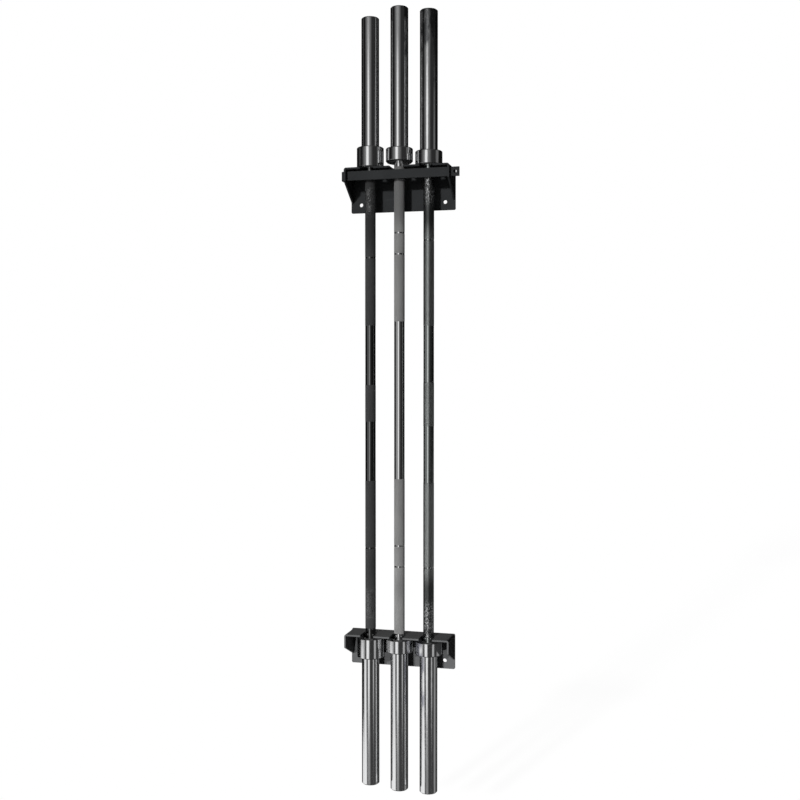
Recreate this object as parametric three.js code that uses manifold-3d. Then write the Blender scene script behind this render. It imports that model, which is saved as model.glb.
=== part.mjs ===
// Barbell storage rack: two steel wall brackets, a sliding lock bar and three upright barbells.
// Millimetres, +Z up. X runs along the wall, +Y points into it.
// The origin is on the wall, in the middle of the upper back plate.

import * as THREE from "three";
import { mergeVertices } from "three/addons/utils/BufferGeometryUtils.js";
import Module from "manifold-3d";

const wasm = await Module();
wasm.setup();

// Brackets

const BRACKET_SPACING = 1315.8; // from one shelf's top to the other's
const PLATE_WIDTH = 304.8;
const PLATE_THICK = 5;
const PLATE_CORNER_RADIUS = 4;
const SCREW_HOLE_DIAMETER = 11;
const SCREW_SIDE_INSET = 29.4; // hole centre to the plate's side
const SCREW_TOP_INSET = 14; // hole centre to the plate's top
const SCREW_BOTTOM_INSET = 23; // hole centre to the plate's bottom
const SHEET_THICK = 5;
const SHELF_INSET = 1.4; // plate's side to a gusset's outer face
const SHELF_DEPTH = 86; // wall to front edge
const BEND_RADIUS = 6.5; // outside of the bend
const GUSSET_FRONT_HEIGHT = 38;
const SLOT_WIDTH = 38;
const WELD_LEG = 3;
const UPPER = { plateHeight: 117, gussetBackHeight: 90, window: true };
const LOWER = { plateHeight: 100, gussetBackHeight: 73, window: false };

// Lock bar, a flat bar that slides through a window in each gusset of the upper bracket

const LOCK_HEIGHT = 25.4;
const LOCK_THICK = 6.35;
const LOCK_SETBACK = 12.8; // shelf's front edge to the bar's front face
const LOCK_DROP = 9; // shelf's top to the bar's top edge
const LOCK_TAIL = 25.5; // right end beyond the gusset
const LOCK_LEG_DEPTH = 24; // left end, bent back as a stop
const LOCK_STOP_GAP = 5.4;
const LOCK_BEND_RADIUS = 9;
const WINDOW_CLEARANCE = 0.8;
const PADLOCK_HOLE_DIAMETER = 9.5;
const PADLOCK_HOLE_INSET = 12; // hole centre to the bar's right end

// Barbells

const BAR_SPACING = 84.7;
const BAR_STANDOFF = 44.5; // bar axis to the wall
const SHAFT_DIAMETER = 30;
const SLEEVE_DIAMETER = 50;
const COLLAR_DIAMETER = 76;
const COLLAR_CHAMFER = 2; // on the collar's outer face
const COLLAR_INNER_CHAMFER = 4;
const SLEEVE_CHAMFER = 2.5;
const JOURNAL_DIAMETER = 25;
const BUSHING_WALL = 3.4;
const BUSHING_LENGTH = 40;
const MOUTH_DEPTH = 8; // how far the full shaft reaches into a sleeve
const SLEEVE_STEP = 1.5; // ledge in the bore that the outer bushing bears on
const OUTER_BUSHING_INSET = 32; // sleeve's end to the outer bushing
const WASHER_THICK = 3;
const SNAP_RING_THICK = 2;
const SNAP_RING_HEIGHT = 2.4; // how far it stands out of the journal
const GROOVE_DEPTH = 1.2;
const JOURNAL_TIP = 4; // journal beyond the groove
const TIP_CHAMFER = 1;
const CAP_THICK = 5;
const CAP_INSET = 1.5; // sleeve's end to the cap's face
const CAP_DISH_DEPTH = 1.5;
const CAP_RIM = 4;

// The three bars differ a little, as in the photo.
// sleeveLength counts from the collar's inner face.
// seatHeight is the upper collar's height over its shelf.
// liftHeight is how far the bar rises before its lower collar meets the lower shelf.
const LEFT_BAR = { sleeveLength: 422, collarLength: 59, seatHeight: 0.3, liftHeight: 4.8 };
const MIDDLE_BAR = { sleeveLength: 432, collarLength: 40, seatHeight: 13.5, liftHeight: 3.8 };
const RIGHT_BAR = { sleeveLength: 431, collarLength: 41, seatHeight: 0.3, liftHeight: 5.8 };
const collarSpan = (bar) => BRACKET_SPACING + SHEET_THICK + bar.seatHeight + bar.liftHeight;
const BARS = [
  { name: "left", place: -BAR_SPACING, ...LEFT_BAR, span: collarSpan(LEFT_BAR) },
  { name: "middle", place: 0, ...MIDDLE_BAR, span: collarSpan(MIDDLE_BAR) },
  { name: "right", place: BAR_SPACING, ...RIGHT_BAR, span: collarSpan(RIGHT_BAR) },
];

// Clearances and mesh fineness

const FIT = 0.3; // radial and end clearance where one piece sits in another
const CUT_OVERRUN = 2;
const MERGE_DISTANCE = 1e-4;
const OUTER_SIDES = 24;
const INNER_SIDES = 20;
const BEND_STEPS = 5;
const SLOT_STEPS = 12;
const HOLE_STEPS = 16;
const SNAP_RING_STEPS = 14;
const SNAP_RING_OPENING = 0.7; // radians

// Finishes

const finish = (name, color, roughness, metalness) =>
  Object.assign(new THREE.MeshStandardMaterial({ color, roughness, metalness }), { name });
const blackPowder = () => finish("black_powder", 0x2b2d2e, 0.55, 0.1);
const steel = {
  left: () => finish("dark_steel", 0x4a4b4c, 0.4, 0.9),
  middle: () => finish("satin_steel", 0x8d8f90, 0.45, 0.9),
  right: () => finish("dark_steel", 0x4a4b4c, 0.35, 0.9),
};
const chrome = () => finish("chrome", 0xc8cacc, 0.12, 1);
const bronze = () => finish("bronze", 0x9a7443, 0.4, 1);
const springSteel = () => finish("spring_steel", 0x6d6f72, 0.35, 1);
const plainSteel = () => finish("plain_steel", 0x8a8c8e, 0.4, 1);

// Geometry helpers

function manifoldOf(geometry) {
  const bare = geometry.clone();
  bare.deleteAttribute("normal");
  bare.deleteAttribute("uv");
  const merged = mergeVertices(bare, MERGE_DISTANCE);
  return new wasm.Manifold(
    new wasm.Mesh({
      numProp: 3,
      vertProperties: new Float32Array(merged.attributes.position.array),
      triVerts: new Uint32Array(merged.index.array),
    }),
  );
}

function geometryOf(solid) {
  const mesh = solid.getMesh();
  const geometry = new THREE.BufferGeometry();
  geometry.setAttribute("position", new THREE.BufferAttribute(mesh.vertProperties, 3));
  geometry.setIndex(new THREE.BufferAttribute(mesh.triVerts, 1));
  geometry.computeVertexNormals();
  return geometry;
}

function cut(geometry, cutters) {
  let solid = manifoldOf(geometry);
  for (const cutter of cutters) solid = solid.subtract(manifoldOf(cutter));
  return geometryOf(solid);
}

function arc(cx, cy, radius, from, to, steps) {
  const points = [];
  for (let i = 0; i <= steps; i++) {
    const a = from + ((to - from) * i) / steps;
    points.push(new THREE.Vector2(cx + radius * Math.cos(a), cy + radius * Math.sin(a)));
  }
  return points;
}

const point = (x, y) => new THREE.Vector2(x, y);

const extruded = (points, depth) =>
  new THREE.ExtrudeGeometry(new THREE.Shape(points), { depth, bevelEnabled: false });

// The outline lies in X and Z and is drawn out from y = back towards the viewer.
function slabFromFront(points, back, depth) {
  const geometry = extruded(points, depth);
  geometry.rotateX(Math.PI / 2);
  geometry.translate(0, back, 0);
  return geometry;
}

// The outline lies in X and Y and is drawn up from z = bottom.
function slabFromAbove(points, bottom, height) {
  const geometry = extruded(points, height);
  geometry.translate(0, 0, bottom);
  return geometry;
}

// The outline lies in Y and Z and is drawn out from x = left to the right.
function slabFromSide(points, left, width) {
  const geometry = extruded(points, width);
  geometry.applyMatrix4(new THREE.Matrix4().set(0, 0, 1, left, 1, 0, 0, 0, 0, 1, 0, 0, 0, 0, 0, 1));
  return geometry;
}

// A turned piece. The profile gives radius and height, and closes on itself or on the axis.
function turned(profile, sides) {
  const closed = profile[0].x > 0 ? [...profile, profile[0]] : profile;
  const geometry = new THREE.LatheGeometry(closed, sides);
  geometry.rotateX(Math.PI / 2);
  return geometry;
}

function ring(inner, outer, bottom, top, sides) {
  return turned([point(inner, bottom), point(outer, bottom), point(outer, top), point(inner, top)], sides);
}

function named(name, geometry, material) {
  const mesh = new THREE.Mesh(geometry, material);
  mesh.name = name;
  return mesh;
}

// Back plate, with four screw holes

const screwX = PLATE_WIDTH / 2 - SCREW_SIDE_INSET;

function screwHoles(bracket) {
  const holes = [];
  for (const x of [-screwX, screwX])
    for (const z of [-SCREW_TOP_INSET, SCREW_BOTTOM_INSET - bracket.plateHeight]) {
      const circle = arc(x, z, SCREW_HOLE_DIAMETER / 2, 0, 2 * Math.PI, HOLE_STEPS).slice(0, -1);
      holes.push(slabFromFront(circle, CUT_OVERRUN, PLATE_THICK + 2 * CUT_OVERRUN));
    }
  return holes;
}

function backPlate(bracket) {
  const half = PLATE_WIDTH / 2;
  const inner = half - PLATE_CORNER_RADIUS;
  const high = -PLATE_CORNER_RADIUS;
  const low = PLATE_CORNER_RADIUS - bracket.plateHeight;
  const corner = (x, z, from) =>
    arc(x, z, PLATE_CORNER_RADIUS, from, from + Math.PI / 2, BEND_STEPS);
  const outline = [
    ...corner(inner, high, 0),
    ...corner(-inner, high, Math.PI / 2),
    ...corner(-inner, low, Math.PI),
    ...corner(inner, low, (3 * Math.PI) / 2),
  ];
  return cut(slabFromFront(outline, 0, PLATE_THICK), screwHoles(bracket));
}

// Shelf and gussets, one sheet bent down at both sides

const sheetHalf = PLATE_WIDTH / 2 - SHELF_INSET;
const bendCentre = sheetHalf - BEND_RADIUS;
const innerBend = BEND_RADIUS - SHEET_THICK;

// One face of the bent sheet, from the foot of the left gusset to the foot of the right one.
function sheetFace(radius, foot) {
  const half = bendCentre + radius;
  return [
    point(-half, -foot),
    ...arc(-bendCentre, -BEND_RADIUS, radius, Math.PI, Math.PI / 2, BEND_STEPS),
    ...arc(bendCentre, -BEND_RADIUS, radius, Math.PI / 2, 0, BEND_STEPS),
    point(half, -foot),
  ];
}

function slotCutter(x) {
  const half = SLOT_WIDTH / 2;
  const slotEnd = -BAR_STANDOFF + SHAFT_DIAMETER / 2 + FIT;
  const outline = [
    point(x - half, -SHELF_DEPTH - CUT_OVERRUN),
    point(x + half, -SHELF_DEPTH - CUT_OVERRUN),
    ...arc(x, slotEnd - half, half, 0, Math.PI, SLOT_STEPS),
  ];
  return slabFromAbove(outline, -SHEET_THICK - CUT_OVERRUN, SHEET_THICK + 2 * CUT_OVERRUN);
}

const lockFront = -SHELF_DEPTH + LOCK_SETBACK;
const lockBack = lockFront + LOCK_THICK;
const lockTop = -LOCK_DROP;
const lockBottom = lockTop - LOCK_HEIGHT;

function windowCutter() {
  const front = lockFront - WINDOW_CLEARANCE;
  const back = lockBack + WINDOW_CLEARANCE;
  const top = lockTop + WINDOW_CLEARANCE;
  const bottom = lockBottom - WINDOW_CLEARANCE;
  const outline = [point(front, bottom), point(back, bottom), point(back, top), point(front, top)];
  return slabFromSide(outline, -sheetHalf - CUT_OVERRUN, 2 * (sheetHalf + CUT_OVERRUN));
}

// The gussets' lower edges run from the front edge down to the wall.
function gussetTrimmer(bracket) {
  const slope = (bracket.gussetBackHeight - GUSSET_FRONT_HEIGHT) / (SHELF_DEPTH - PLATE_THICK);
  const front = -SHELF_DEPTH - CUT_OVERRUN;
  const back = -PLATE_THICK + CUT_OVERRUN;
  const outline = [
    point(front, -bracket.gussetBackHeight - 2 * CUT_OVERRUN),
    point(back, -bracket.gussetBackHeight - 2 * CUT_OVERRUN),
    point(back, -bracket.gussetBackHeight - slope * CUT_OVERRUN),
    point(front, -GUSSET_FRONT_HEIGHT + slope * CUT_OVERRUN),
  ];
  return slabFromSide(outline, -sheetHalf - CUT_OVERRUN, 2 * (sheetHalf + CUT_OVERRUN));
}

function bentShelf(bracket) {
  const foot = bracket.gussetBackHeight + CUT_OVERRUN;
  const outline = [...sheetFace(BEND_RADIUS, foot), ...sheetFace(innerBend, foot).reverse()];
  const blank = slabFromFront(outline, -PLATE_THICK, SHELF_DEPTH - PLATE_THICK);
  const cutters = BARS.map((bar) => slotCutter(bar.place));
  cutters.push(gussetTrimmer(bracket));
  if (bracket.window) cutters.push(windowCutter());
  return cut(blank, cutters);
}

// Weld bead in the corner between the plate and the inside of the bent sheet
function weldBead(bracket) {
  const foot = bracket.gussetBackHeight - WELD_LEG;
  const root = sheetFace(innerBend, foot);
  const offset = root.map((p) => {
    const x = Math.sign(p.x) * Math.min(Math.abs(p.x), bendCentre + innerBend - WELD_LEG);
    return point(x, Math.min(p.y, -SHEET_THICK - WELD_LEG));
  });
  const positions = [];
  root.forEach((p, i) => {
    positions.push(p.x, -PLATE_THICK, p.y);
    positions.push(offset[i].x, -PLATE_THICK, offset[i].y);
    positions.push(p.x, -PLATE_THICK - WELD_LEG, p.y);
  });
  const index = [];
  for (let i = 0; i + 1 < root.length; i++)
    for (let side = 0; side < 3; side++) {
      const a = 3 * i + side;
      const b = 3 * i + ((side + 1) % 3);
      index.push(a, a + 3, b, b, a + 3, b + 3);
    }
  const last = 3 * (root.length - 1);
  index.push(0, 1, 2, last, last + 2, last + 1);
  const geometry = new THREE.BufferGeometry();
  geometry.setAttribute("position", new THREE.Float32BufferAttribute(positions, 3));
  geometry.setIndex(index);
  geometry.computeVertexNormals();
  return geometry;
}

// Lock bar

const lockRight = sheetHalf + LOCK_TAIL;
const lockLeft = -sheetHalf - LOCK_STOP_GAP - LOCK_THICK;

function lockBar() {
  const bendX = lockLeft + LOCK_BEND_RADIUS;
  const bendY = lockFront + LOCK_BEND_RADIUS;
  const legEnd = lockFront + LOCK_LEG_DEPTH;
  const outline = [
    point(lockRight, lockFront),
    point(lockRight, lockBack),
    ...arc(bendX, bendY, LOCK_BEND_RADIUS - LOCK_THICK, (3 * Math.PI) / 2, Math.PI, BEND_STEPS),
    point(lockLeft + LOCK_THICK, legEnd),
    point(lockLeft, legEnd),
    ...arc(bendX, bendY, LOCK_BEND_RADIUS, Math.PI, (3 * Math.PI) / 2, BEND_STEPS),
  ];
  const holeX = lockRight - PADLOCK_HOLE_INSET;
  const holeZ = (lockTop + lockBottom) / 2;
  const circle = arc(holeX, holeZ, PADLOCK_HOLE_DIAMETER / 2, 0, 2 * Math.PI, HOLE_STEPS).slice(0, -1);
  const hole = slabFromFront(circle, lockBack + CUT_OVERRUN, LOCK_THICK + 2 * CUT_OVERRUN);
  return cut(slabFromAbove(outline, lockBottom, LOCK_HEIGHT), [hole]);
}

// Barbell pieces. Each end is drawn with its collar's inner face at z = 0 and its tip upwards.

const shaftRadius = SHAFT_DIAMETER / 2;
const sleeveRadius = SLEEVE_DIAMETER / 2;
const journalRadius = JOURNAL_DIAMETER / 2;
const bushingBore = journalRadius + FIT;
const innerBushingRadius = bushingBore + BUSHING_WALL;
const outerBushingRadius = innerBushingRadius + SLEEVE_STEP;
const grooveRadius = journalRadius - GROOVE_DEPTH;
const snapRingOuter = journalRadius + SNAP_RING_HEIGHT;

// Heights inside one end, from the collar's inner face to the sleeve's tip
function endHeights(bar) {
  const outerBushingTop = bar.sleeveLength - OUTER_BUSHING_INSET;
  const washer = outerBushingTop + FIT;
  const groove = washer + WASHER_THICK + FIT;
  return {
    innerBushing: MOUTH_DEPTH + FIT,
    outerBushing: outerBushingTop - BUSHING_LENGTH,
    washer,
    groove,
    tip: groove + SNAP_RING_THICK + 2 * FIT + JOURNAL_TIP,
  };
}

function sleeve(bar) {
  const at = endHeights(bar);
  const ledge = at.outerBushing - FIT;
  return turned(
    [
      point(shaftRadius + 2 * FIT, 0),
      point(sleeveRadius, 0),
      point(sleeveRadius, bar.sleeveLength - SLEEVE_CHAMFER),
      point(sleeveRadius - SLEEVE_CHAMFER, bar.sleeveLength),
      point(outerBushingRadius + FIT, bar.sleeveLength),
      point(outerBushingRadius + FIT, ledge),
      point(innerBushingRadius + FIT, ledge),
      point(innerBushingRadius + FIT, MOUTH_DEPTH),
      point(shaftRadius + 2 * FIT, MOUTH_DEPTH),
    ],
    OUTER_SIDES,
  );
}

function collar(bar) {
  const outer = COLLAR_DIAMETER / 2;
  const bore = sleeveRadius + FIT;
  return turned(
    [
      point(bore, 0),
      point(outer - COLLAR_INNER_CHAMFER, 0),
      point(outer, COLLAR_INNER_CHAMFER),
      point(outer, bar.collarLength - COLLAR_CHAMFER),
      point(outer - COLLAR_CHAMFER, bar.collarLength),
      point(bore, bar.collarLength),
    ],
    OUTER_SIDES,
  );
}

function endCap(bar) {
  const radius = outerBushingRadius;
  const face = bar.sleeveLength - CAP_INSET;
  return turned(
    [
      point(0, face - CAP_THICK),
      point(radius, face - CAP_THICK),
      point(radius, face),
      point(radius - CAP_RIM, face),
      point(radius - CAP_RIM - CAP_DISH_DEPTH, face - CAP_DISH_DEPTH),
      point(0, face - CAP_DISH_DEPTH),
    ],
    INNER_SIDES,
  );
}

function snapRing(bar) {
  const inner = grooveRadius + FIT;
  const from = SNAP_RING_OPENING / 2;
  const to = 2 * Math.PI - from;
  const outline = [
    ...arc(0, 0, snapRingOuter, from, to, SNAP_RING_STEPS),
    ...arc(0, 0, inner, to, from, SNAP_RING_STEPS),
  ];
  return slabFromAbove(outline, endHeights(bar).groove + FIT, SNAP_RING_THICK);
}

// Half of the shaft's profile, from its middle up to one tip
function halfShaft(bar) {
  const at = endHeights(bar);
  const collarFace = bar.span / 2;
  const grooveTop = at.groove + SNAP_RING_THICK + 2 * FIT;
  return [
    point(shaftRadius, collarFace + MOUTH_DEPTH - FIT),
    point(journalRadius, collarFace + MOUTH_DEPTH - FIT),
    point(journalRadius, collarFace + at.groove),
    point(grooveRadius, collarFace + at.groove),
    point(grooveRadius, collarFace + grooveTop),
    point(journalRadius, collarFace + grooveTop),
    point(journalRadius, collarFace + at.tip - TIP_CHAMFER),
    point(journalRadius - TIP_CHAMFER, collarFace + at.tip),
    point(0, collarFace + at.tip),
  ];
}

function shaft(bar) {
  const upper = halfShaft(bar);
  const lower = upper.map((p) => point(p.x, -p.y)).reverse();
  return turned([...lower, ...upper], INNER_SIDES);
}

// Each end's pieces, as name, geometry and finish
function endPieces(bar) {
  const at = endHeights(bar);
  const bush = (radius, bottom) =>
    ring(bushingBore, radius, bottom, bottom + BUSHING_LENGTH, INNER_SIDES);
  const washer = ring(
    bushingBore,
    innerBushingRadius,
    at.washer,
    at.washer + WASHER_THICK,
    INNER_SIDES,
  );
  return [
    ["sleeve", sleeve(bar), chrome],
    ["collar", collar(bar), chrome],
    ["inner_bushing", bush(innerBushingRadius, at.innerBushing), bronze],
    ["outer_bushing", bush(outerBushingRadius, at.outerBushing), bronze],
    ["thrust_washer", washer, plainSteel],
    ["snap_ring", snapRing(bar), springSteel],
    ["end_cap", endCap(bar), chrome],
  ];
}

function barbell(bar) {
  const group = new THREE.Group();
  group.position.set(bar.place, -BAR_STANDOFF, bar.seatHeight - bar.span / 2);
  group.add(named(`bar_${bar.name}_shaft`, shaft(bar), steel[bar.name]()));
  const ends = [
    ["upper", 0],
    ["lower", Math.PI],
  ];
  for (const [end, turn] of ends) {
    const half = new THREE.Group();
    half.rotation.x = turn;
    const reach = new THREE.Group();
    reach.position.z = bar.span / 2;
    half.add(reach);
    for (const [piece, geometry, material] of endPieces(bar))
      reach.add(named(`bar_${bar.name}_${end}_${piece}`, geometry, material()));
    group.add(half);
  }
  return group;
}

function bracket(prefix, kind, shelfTop) {
  const group = new THREE.Group();
  group.position.z = shelfTop;
  group.add(named(`${prefix}_back_plate`, backPlate(kind), blackPowder()));
  group.add(named(`${prefix}_shelf`, bentShelf(kind), blackPowder()));
  group.add(named(`${prefix}_weld`, weldBead(kind), blackPowder()));
  return group;
}

// Assembly. Everything above is drawn with the upper shelf's top at z = 0.

const upperShelfTop = UPPER.plateHeight / 2;
const upperParts = bracket("upper", UPPER, upperShelfTop);
upperParts.add(named("lock_bar", lockBar(), blackPowder()));
for (const bar of BARS) upperParts.add(barbell(bar));

const rack = new THREE.Group();
rack.name = "barbell_storage_rack";
rack.add(upperParts);
rack.add(bracket("lower", LOWER, upperShelfTop - BRACKET_SPACING));

export default rack;
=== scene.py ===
"""Dresses the barbell storage rack: two folded wall brackets, a lock bar and three barbells."""

import math
from collections import namedtuple

import bmesh
import bpy
from bpy.props import FloatProperty, FloatVectorProperty, IntProperty, PointerProperty
from bpy.types import Operator, Panel, PropertyGroup
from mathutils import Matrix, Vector
from mathutils.geometry import tessellate_polygon


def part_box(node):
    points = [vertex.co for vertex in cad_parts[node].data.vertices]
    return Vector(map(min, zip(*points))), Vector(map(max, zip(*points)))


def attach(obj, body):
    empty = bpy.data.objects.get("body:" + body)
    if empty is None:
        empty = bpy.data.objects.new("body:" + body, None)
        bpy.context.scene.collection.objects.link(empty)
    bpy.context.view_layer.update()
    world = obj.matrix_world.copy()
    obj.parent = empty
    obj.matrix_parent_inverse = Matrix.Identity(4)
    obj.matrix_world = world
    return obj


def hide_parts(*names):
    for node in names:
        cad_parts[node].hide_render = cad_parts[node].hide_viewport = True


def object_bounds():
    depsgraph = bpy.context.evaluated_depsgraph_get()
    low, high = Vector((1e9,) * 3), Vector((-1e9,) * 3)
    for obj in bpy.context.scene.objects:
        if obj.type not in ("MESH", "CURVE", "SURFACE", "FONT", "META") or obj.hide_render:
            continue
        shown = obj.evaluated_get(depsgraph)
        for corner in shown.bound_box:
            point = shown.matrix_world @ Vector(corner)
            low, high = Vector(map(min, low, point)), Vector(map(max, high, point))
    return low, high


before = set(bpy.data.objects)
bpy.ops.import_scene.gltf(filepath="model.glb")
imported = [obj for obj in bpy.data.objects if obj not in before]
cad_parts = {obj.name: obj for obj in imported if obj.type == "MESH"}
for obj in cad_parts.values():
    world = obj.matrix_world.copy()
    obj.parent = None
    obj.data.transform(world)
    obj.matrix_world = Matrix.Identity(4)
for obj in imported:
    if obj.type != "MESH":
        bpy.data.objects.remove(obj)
cad_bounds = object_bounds()

bl_info = {
    "name": "Barbell Storage Rack",
    "version": (1, 0, 0),
    "blender": (4, 5, 0),
    "location": "View3D > Sidebar > Barbell Rack",
    "description": "Builds the finished pieces of a wall rack with three barbells around its frame",
    "category": "Add Mesh",
}

LEVELS = ("upper", "lower")
BARS = ("left", "middle", "right")
BRACKET_BODY = "brackets"
SLEEVES = tuple((bar, end) for bar in BARS for end in LEVELS)
OUTWARD = {"upper": 1, "lower": -1}  # from the shaft's middle to a sleeve's tip
WRAP_MAP = "wrap"  # UV map of turned pieces: turns round the axis, and height in metres
X, Y, Z = Vector((1, 0, 0)), Vector((0, 1, 0)), Vector((0, 0, 1))
QUARTER = math.pi / 2

SHARP_BEND = math.radians(32)  # edges that bend further stay sharp
FLAT_BEND = math.radians(1)  # edges that bend less aren't needed
HOLE_SIDES = 32
PIN_SIDES = 20
FOLD_STEPS = 14
SLOT_STEPS = 24
PLATE_STEPS = 8  # in a corner of a back plate
SEAM_STEPS = 6  # in a bend of a weld's line
RIPPLE_LEAST = (0.72, 0.72, 0.6)  # smallest and largest ripple of a weld, in its legs
RIPPLE_MOST = (0.84, 0.84, 0.75)
CORNER_STEPS = 4
CORNER_REACH = 1.6  # from a turned corner to where its rounding starts, in softnesses
CORNER_ROOM = 0.45  # share of the shorter side that this may take

WAVE_HEIGHT = 60  # of a sleeve whose ripple is 1, in turning lines
# Spots of painted reflection on a sleeve, which are tinted and a little rougher:
REFLECTION_SPOTS = (0.4, 0.56)  # level of the noise at which a dull spot starts and is full
REFLECTION_SIDE = (0.002, 0.012)  # the same for the distance to the left of a sleeve's middle
KNURL_FADE = 0.06  # length over which a knurl changes beyond its outer ring mark
POLISH_FADE = 0.015  # length over which rubbed knurl ends near a collar
RUBBED_ROUGHNESS = 0.17


# Sizes and colours


def setting(kind, **fixed):
    """A maker of settings that share what is fixed."""

    def make(name, default, description, **more):
        if isinstance(default, tuple):
            more["size"] = len(default)
        return kind(name=name, default=default, description=description, **{**fixed, **more})

    return make


# Lengths are in metres. Three lengths or shares in one setting are for the left, middle and right
# bar, and two are for the upper and lower end.
length = setting(FloatProperty, min=0, precision=5, unit="LENGTH")
lengths = setting(FloatVectorProperty, min=0, precision=5, unit="LENGTH")
shares = setting(FloatVectorProperty, min=0, max=1)
place = setting(FloatVectorProperty, unit="LENGTH")
rotation = setting(FloatVectorProperty, subtype="EULER")
colour = setting(FloatVectorProperty, min=0, max=1, subtype="COLOR")
number = setting(FloatProperty, min=0)
count = setting(IntProperty, min=0)


def angle(name, degrees, description):
    return FloatProperty(
        name=name, description=description, default=math.radians(degrees), unit="ROTATION"
    )


class BracketSizes(PropertyGroup):
    sheet: length("Sheet", 0.005, "Thickness of the folded sheet")
    fold_radius: length("Fold radius", 0.0065, "Outside radius of the sheet's folds")
    gusset_front: length("Gusset front", 0.038, "Height of a gusset at the shelf's front edge")
    slot_width: length("Slot width", 0.038, "Width of the slots that take the shafts")
    shaft_gap: length("Shaft gap", 0.0003, "Gap between a slot's end and its shaft")
    window_gap: length("Window gap", 0.0008, "Gap round the lock bar in a gusset's window")
    plate_corner: length("Plate corner", 0.004, "Corner radius of the back plates")
    screw_hole: length("Screw hole", 0.011, "Diameter of the screw holes")
    hole_to_side: length("Hole to side", 0.0294, "Screw hole's centre to the plate's side")
    hole_to_top: length("Hole to top", 0.014, "Upper screw hole's centre to the plate's top")
    hole_to_bottom: length("Hole to bottom", 0.023, "Lower screw hole's centre to the plate's foot")
    soft_edge: length("Soft edge", 0.0007, "Rounding that the powder coat leaves on the edges")
    weld_leg: length("Weld leg", 0.003, "Width of the weld beads")
    weld_pitch: length("Weld pitch", 0.0026, "Distance between the ripples of a weld bead")
    weld_seed: count("Weld seed", 7, "Varies the ripples")


class LockBarSizes(PropertyGroup):
    thickness: length("Thickness", 0.00635, "Thickness of the flat bar")
    fold_radius: length("Fold radius", 0.009, "Outside radius of the bent stop")
    hole: length("Padlock hole", 0.0095, "Diameter of the padlock hole")
    hole_to_end: length("Hole to end", 0.012, "Padlock hole's centre to the bar's right end")
    soft_edge: length("Soft edge", 0.0009, "Rounding of the bar's edges")


class BarbellSizes(PropertyGroup):
    pattern_rise: lengths("Pattern rise", (0.0012, 0.003, 0), "Shaft's middle to its pattern's")
    knurl_start: lengths("Knurl start", (0.22, 0.2217, 0.22), "Pattern's middle to a long knurl")
    centre_knurl: lengths("Centre knurl", (0.0515, 0, 0.061), "Half the middle knurl's length")
    first_mark: lengths("First mark", (0.4111, 0.4107, 0), "Pattern's middle to its inner mark")
    second_mark: lengths("Second mark", (0, 0.4698, 0.4585), "Pattern's middle to its outer mark")
    neck: lengths("Neck", (0.024, 0.012, 0.008), "Plain length between the knurl and the collar")
    polish_length: lengths("Polish length", (0.145, 0.1, 0.12), "How far the knurl is rubbed")
    polish_gap: lengths("Polish gap", (0.05, 0, 0), "Dull knurl next to a collar")
    mark_width: length("Mark width", 0.0045, "Width of a ring mark")
    knurl_depth: length("Knurl depth", 0.0003, "How far the knurls stand over the plain shaft")
    knurl_pitch: length("Knurl pitch", 0.0014, "Distance between the knurl's ridges")
    mouth_gap: length("Mouth gap", 0.0006, "Gap between the shaft and the sleeve's mouth")
    fit: length("Fit", 0.0003, "Gap between the pieces inside a sleeve")
    mouth_depth: length("Mouth depth", 0.008, "Depth of the sleeve's mouth")
    sleeve_chamfer: length("Sleeve chamfer", 0.0025, "Chamfer at the sleeve's tip")
    collar_chamfer: length("Collar chamfer", 0.002, "Chamfer of the collar's outer face")
    collar_foot: length("Collar foot", 0.004, "Chamfer of the collar's inner face")
    soft_edge: length("Soft edge", 0.0003, "Rounding of turned edges")
    cap_rim: length("Cap rim", 0.004, "Width of the end cap's rim")
    cap_dish: length("Cap dish", 0.0015, "Depth of the end cap's dish")
    pin: length("Pin", 0.004, "Diameter of the pins in the sleeves")
    pin_to_tip: length("Pin to tip", 0.0245, "Pin's centre to the sleeve's tip")
    sides: count("Sides", 128, "Faces round a turned piece", min=24)


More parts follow.
